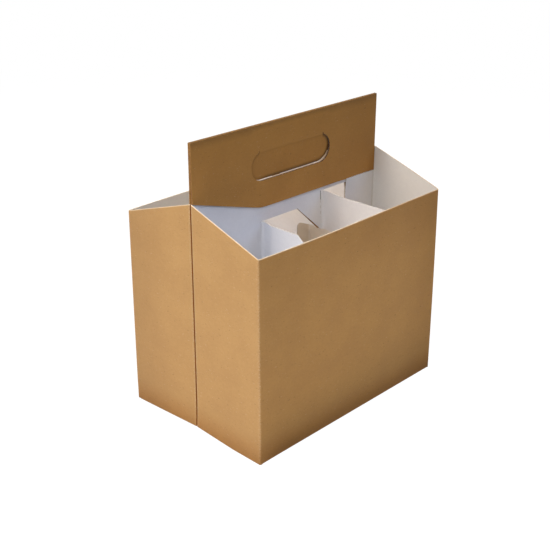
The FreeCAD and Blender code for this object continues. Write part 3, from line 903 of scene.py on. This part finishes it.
def make_bottom_panel(name, side, reach, lift):
    """Bottom panel folded in from a side wall, rising from there to lie on the other one."""
    path, distance, crease = folded_path(
        [(-HALF_WIDTH, BOTTOM_FOLD + JUMP), (-HALF_WIDTH, 0), (reach - HALF_WIDTH, 0)],
        (BOTTOM_FOLD,))
    path[:, 1] += lift * ease((path[:, 0] + HALF_WIDTH - BOTTOM_FOLD) / LAP_RAMP)
    x = np.linspace(LEFT_X + BOTTOM_INSET, RIGHT_X - BOTTOM_INSET / 2, 48)[:, None]
    grid = settle(stacked(x, path[:, 0], path[:, 1]))
    tone_mask = stacked(fold_nearness(np.abs(distance - crease)), 1, 0 * x)
    make_board(name, side, [(grid, stacked(x, -distance), tone_mask)], outward=1)


def slot_edges(x):
    """Lower and upper edge of the hole that the finger flap leaves, over x.

    The outline is a slot with round ends. Between the ends of the cut, at the crease,
    the hole takes in the band that bends with the flap.
    """
    out = np.abs(x - CREASE[0])
    beyond = np.clip(out - (SLOT_HALF - SLOT_RADIUS), 0, SLOT_RADIUS)
    drop = SLOT_RADIUS - np.sqrt(SLOT_RADIUS ** 2 - beyond ** 2)
    banded = ease((CREASE_HALF + CUT_END - out) / (2 * CUT_END))
    top = (SLOT_TOP - drop) * (1 - banded) + (CREASE[2] + CREASE_BAND) * banded
    return SLOT_FOOT + drop, top


def slot_inset(points):
    """Distance of points in the slot from its outline, left out along its straight top.

    It is what is left of the end's radius after the distance from the slot's middle line.
    """
    beyond = np.clip(np.abs(points[:, 0] - CREASE[0]) - SLOT_HALF + SLOT_RADIUS, 0, None)
    above = points[:, 2] - SLOT_FOOT - SLOT_RADIUS
    above = above * np.where(above > 0, ease(beyond / TOP_FADE), 1)
    return SLOT_RADIUS - np.hypot(beyond, above)


def slot_columns(spread):
    """Columns over the slot: even on its straight middle, by angle at its round ends."""
    turn = np.linspace(0, math.pi / 2, 18)
    end = SLOT_HALF - SLOT_RADIUS + SLOT_RADIUS * np.sin(turn)
    end = end[np.abs(end - CREASE_HALF) > CUT_END]
    middle = np.linspace(0, SLOT_HALF - SLOT_RADIUS, 9)
    cut_end = CREASE_HALF + np.linspace(-CUT_END, CUT_END, 7)
    half = np.unique(np.round(np.concatenate([middle, end, cut_end]), 7))  # to 0.1 micrometre
    return CREASE[0] + np.unique(np.concatenate([-half, half])) * spread


def make_handle_ply(name, side):
    """Medial wall's upper part and its ply folded over towards the half's own side.

    Across the carrier the sheet goes up beside the middle plane, turns over in a half
    circle and hangs down as the skirt. The finger slot goes through both layers: three
    bands of it, below the slot inside, over the slot and below it outside, join left
    and right of the slot at half its height. The skirt's foot is the slant from the left
    edge, eased into the level foot.
    """
    left, right = LEFT_X + HANDLE_LEFT, RIGHT_X - HANDLE_RIGHT
    slot = slot_columns(1)
    x = np.concatenate([np.linspace(left, slot[0], 14)[:-1], slot,
                        np.linspace(slot[-1], right, 14)[1:]])
    foot, top = slot_edges(x)
    slant = SEAM_TOP + (SKIRT_FOOT - SEAM_TOP) * (x - left) / (LEFT_X + SKIRT_CHAMFER - left)
    over = slant - SKIRT_FOOT
    skirt = SKIRT_FOOT + (over + np.sqrt(over ** 2 + MM ** 2)) / 2
    drop_start, drop_length = SKIRT_DROP_REACH
    skirt = skirt - SKIRT_DROP * ease((x - SECOND_X - drop_start) / drop_length)

    inner_y, outer_y = -GLUE_GAP, -GLUE_GAP - 2 * BOARD
    fold_z = HANDLE_TOP - BOARD
    turn = np.linspace(0, math.pi, 13)[1:-1, None]
    rise = np.linspace(0, 1, 6)[:, None]

    def layer(y, start, end):
        return stacked(x, y, start * (1 - rise) + end * rise)

    arc = stacked(x, inner_y - BOARD * (1 - np.cos(turn)), fold_z + BOARD * np.sin(turn))
    bands = [
        layer(inner_y, SEAM_TOP, foot),
        np.concatenate([layer(inner_y, top, fold_z), arc, layer(outer_y, fold_z, top)]),
        layer(outer_y, foot, skirt),
    ]
    grids = [(part_halves(band), band[..., [0, 2]],
              stacked(fold_nearness(HANDLE_TOP - band[..., 2]), 1, 0)) for band in bands]
    piece = make_board(name, side, grids, thickness=PLY, brown=HANDLE_KRAFT_SHADED)
    # Pressed board with painted shade on the handle's cut edges outside the slot.
    change_faces(piece, EDGE_FACE, PRESSED_AND_SHADED_EDGE,
                 lambda x, y, z: np.abs(x - CREASE[0]) > SLOT_HALF + MM)
    # Painted shade on the white faces inside the handle's plies near its left end.
    change_faces(piece, WHITE_FACE, SEAM_GAP_SHADE, lambda x, y, z: (
        (x < LEFT_X + SEAM_GAP_SHADE_REACH) & (z > SKIRT_FOOT - MM)))
    # Painted shade on the slot's cut edges: all of the near half's, and the far half's above its foot.
    change_faces(piece, EDGE_FACE, SHADE_PAINTED_EDGE, lambda x, y, z: (
        (np.abs(x - CREASE[0]) < SLOT_HALF + MM) & (z > SEAM_TOP)
        & ((y < 0) | (z > SLOT_FOOT + SLOT_SHADE))))


def slab_faces(rows, columns, first):
    """Quads of a closed slab: its front, its back and its rim.

    Front and back are grids of points. The front's numbers start at first, and the
    back's follow them.
    """
    count = rows * columns
    numbers = first + np.arange(count).reshape(rows, columns)
    loop = np.concatenate([numbers[0, :-1], numbers[:-1, -1], numbers[-1, :0:-1], numbers[:0:-1, 0]])
    after = np.roll(loop, -1)
    rim = np.stack([loop, loop + count, after + count, after], -1)
    front = grid_faces(rows, columns, first)
    back = grid_faces(rows, columns, first + count)[:, ::-1]
    return front, back, rim


def make_finger_flap():
    """Flap of four plies, cut round its sides and foot, and bent at the crease.

    Each ply is a closed slab between a lower and an upper edge over x. The band above
    the crease stays in the handle's plane. Below it the plies turn about the crease,
    easing into the flap's rest angle.
    """
    x = slot_columns(1 - CUT / SLOT_HALF)
    foot, top = slot_edges(x)
    upper = top - CUT * ease((np.abs(x - CREASE[0]) - CREASE_HALF + CUT_END) / CUT_END)
    foot = np.minimum(foot + CUT, upper - JUMP)
    share = np.concatenate([np.linspace(0, 0.8, 10), np.linspace(0.8, 1, 14)[1:]])[:, None]
    z = foot * (1 - share) + upper * share
    points, faces, kinds = [], [], []
    for ply in range(4):
        outside = (ply - 2) * BOARD
        points += [stacked(x, y, z).reshape(-1, 3) for y in (outside, outside + PLY)]
        front, back, rim = slab_faces(*z.shape, 2 * ply * z.size)
        faces += [front, back, rim]
        kinds += [np.full(len(front) + len(back), BROWN_FACE), np.full(len(rim), EDGE_FACE)]
    points, faces, kinds = (np.concatenate(parts) for parts in (points, faces, kinds))
    below = (CREASE[2] + CREASE_BAND - points[:, 2]) / (CREASE_BAND + FLAP_BEND)
    angle = FLAP_TILT * ease(below)
    y, z = points[:, 1] - CREASE[1], points[:, 2] - CREASE[2]
    turned = stacked(points[:, 0], CREASE[1] + y * np.cos(angle) - z * np.sin(angle),
                     CREASE[2] + y * np.sin(angle) + z * np.cos(angle))
    # Fold mask: the band by the crease, where the flap's painted light gives way to the handle's tone.
    # Edge mask: where the painted shade along the cut goes.
    tone_masks = stacked(ease((z + CREASE_SHADE) / CREASE_SHADE), slot_inset(points), 0)
    mesh = blank_mesh("finger_flap_board", turned, faces, points[:, [0, 2]], tone_masks, FLAP_KRAFT_LIT_AND_SHADED)
    mesh.polygons.foreach_set("material_index", kinds)
    shade_board(mesh)
    piece = add_object("finger_flap_board", mesh)
    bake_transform(piece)
    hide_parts("finger_flap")


for half, side, reach, lift in (("near", -1, BOTTOM_REACH, 0),
                                ("far", 1, LAP_REACH, BOARD + GLUE_GAP)):
    make_sleeve(f"{half}_sleeve", side)
    make_straps(half, side)
    make_handle_ply(f"{half}_handle_ply", side)
    make_bottom_panel(f"{half}_bottom_panel", side, reach, lift)
make_finger_flap()


# ------------------------ floor, light, camera

FLOOR_REACH = 4.0
# The floor's colour for bounced light is a painted pool of light, with painted shade round the carrier's
# foot.
FLOOR_PALE, FLOOR_FAR = 0.90, 0.10  # what the floor throws back, near and far
POOL_CENTRE = (-0.20, 0, 0)
POOL_EDGE = (0.35, 0.60)  # where near turns to far
SHOWN_EDGE = (0.7, 1.3)  # where the floor's own white turns to plain white
SHADOW_SHARE = 0.10
FOOT_SHADE, FOOT_SHADE_REACH = 0.1, 70 * MM
SHADE_CENTRE = (0.03, -0.01, 0)
SKY_COLOUR = (0.9, 0.95, 1.0)
SKY_LEVEL = 0.02
AIM = (0, 0, 0.1)  # where the lamps look
CAMERA_PLACE = (-0.5079, -0.4746, 0.3962)
CAMERA_AZIMUTH, CAMERA_ELEVATION, CAMERA_ROLL = -46.10, 23.67, 0.13  # degrees
LENS, SENSOR = 66.0, 36.0  # millimetres


def vector_node(tree, operation, *values):
    """Result of a sum on vectors: a length, or one more vector."""
    node = add_node(tree, "ShaderNodeVectorMath", dict(enumerate(values)), operation=operation)
    return node.outputs["Value" if operation in ("DISTANCE", "LENGTH") else "Vector"]


def mix_shaders(tree, share, first, second):
    """First shader, mixed with the second one as far as the share says."""
    return add_node(tree, "ShaderNodeMixShader", {0: share, 1: first, 2: second}).outputs[0]


def seen_share(tree):
    """1 for rays that show the background: from the camera, mirrored or through glass."""
    rays = add_node(tree, "ShaderNodeLightPath").outputs
    direct = math_node(tree, "MAXIMUM", rays["Is Camera Ray"], rays["Is Glossy Ray"])
    return math_node(tree, "MAXIMUM", direct, rays["Is Transmission Ray"])


def make_floor():
    """Pale floor that shows white to the camera, keeps a faint shadow, and throws light
    back onto the carrier from a pool of light painted into its colour round it, with
    painted shade close to its foot.
    """
    mesh = bpy.data.meshes.new("floor")
    corners = [(x * FLOOR_REACH, y * FLOOR_REACH, 0) for x, y in ((-1, -1), (1, -1), (1, 1), (-1, 1))]
    mesh.from_pydata(corners, [], [(0, 1, 2, 3)])
    floor = add_object("floor", mesh)
    material, tree, shader = new_material("floor")
    tree.nodes.remove(shader)
    place = add_node(tree, "ShaderNodeTexCoord").outputs["Object"]
    away = vector_node(tree, "DISTANCE", place, POOL_CENTRE)
    pale = ramp_value(tree, away, *POOL_EDGE, FLOOR_PALE, FLOOR_FAR)
    past = vector_node(tree, "ABSOLUTE", vector_node(tree, "SUBTRACT", place, SHADE_CENTRE))
    past = vector_node(tree, "SUBTRACT", past, (HALF_LENGTH, HALF_WIDTH, 0))
    past = vector_node(tree, "LENGTH", vector_node(tree, "MAXIMUM", past, (0, 0, 0)))
    pale = product(tree, pale, ramp_value(tree, past, 0.0, FOOT_SHADE_REACH, FOOT_SHADE, 1.0))
    bounce = add_node(tree, "ShaderNodeBsdfDiffuse", {"Color": pale}).outputs[0]
    shadow = add_node(tree, "ShaderNodeBsdfDiffuse", {"Color": (*[SHADOW_SHARE] * 3, 1)}).outputs[0]
    glow = add_node(tree, "ShaderNodeEmission", {"Strength": 1.0 - SHADOW_SHARE / 3}).outputs[0]
    near = add_node(tree, "ShaderNodeAddShader", {0: shadow, 1: glow}).outputs[0]
    white = add_node(tree, "ShaderNodeEmission", {"Strength": 1.0}).outputs[0]
    shown = mix_shaders(tree, ramp_value(tree, away, *SHOWN_EDGE), near, white)
    seen = mix_shaders(tree, seen_share(tree), bounce, shown)
    tree.links.new(seen, tree.nodes["Material Output"].inputs["Surface"])
    floor.data.materials.append(material)


def make_world():
    """Dim sky that looks plain white to the camera."""
    world = bpy.data.worlds.new("studio")
    bpy.context.scene.world = world
    world.use_nodes = True
    tree = world.node_tree
    light = set_inputs(tree, tree.nodes["Background"], {"Color": (*SKY_COLOUR, 1), "Strength": SKY_LEVEL})
    white = add_node(tree, "ShaderNodeBackground", {"Color": (1, 1, 1, 1), "Strength": 1.0})
    mix = mix_shaders(tree, seen_share(tree), light.outputs[0], white.outputs[0])
    tree.links.new(mix, tree.nodes["World Output"].inputs["Surface"])


def way_to(azimuth, elevation):
    """Direction from the carrier, in degrees. Azimuth 0 is the near side, 90 the right end."""
    turn, lift = math.radians(azimuth), math.radians(elevation)
    return Vector((math.sin(turn) * math.cos(lift), -math.cos(turn) * math.cos(lift), math.sin(lift)))


def make_lamp(name, azimuth, elevation, distance, size, watts, colour):
    """Square soft lamp that looks at the carrier from a direction."""
    way = way_to(azimuth, elevation)
    lamp = bpy.data.lights.new(name, "AREA")
    lamp.size = size
    lamp.energy = watts
    lamp.color = colour
    holder = add_object(name, lamp)
    holder.location = Vector(AIM) + way * distance
    holder.rotation_euler = (-way).to_track_quat("-Z", "Y").to_euler()


def make_camera():
    """Camera to the left of the near side, looking down a little."""
    camera = bpy.data.cameras.new("camera")
    camera.lens = LENS
    camera.sensor_width = SENSOR
    holder = add_object("camera", camera)
    back = way_to(CAMERA_AZIMUTH, CAMERA_ELEVATION)
    roll = Matrix.Rotation(math.radians(CAMERA_ROLL), 3, "Z").to_quaternion()
    turn = (-back).to_track_quat("-Z", "Y") @ roll
    holder.matrix_world = Matrix.Translation(CAMERA_PLACE) @ turn.to_matrix().to_4x4()
    bpy.context.scene.camera = holder


make_floor()
make_world()
make_lamp("key", -108, 45, distance=1.6, size=0.5, watts=12.5, colour=(1.0, 0.88, 0.76))
make_lamp("near_left", -75, 50, distance=0.8, size=0.6, watts=3.7, colour=(0.91, 0.95, 1.0))
make_lamp("right_fill", 45, 40, distance=1.6, size=1.2, watts=9.3, colour=(0.59, 0.71, 1.0))
make_lamp("overhead", 0, 89, distance=1.6, size=1.2, watts=17.5, colour=(1.0, 0.84, 0.63))
make_camera()
bpy.context.scene.view_settings.view_transform = "Standard"
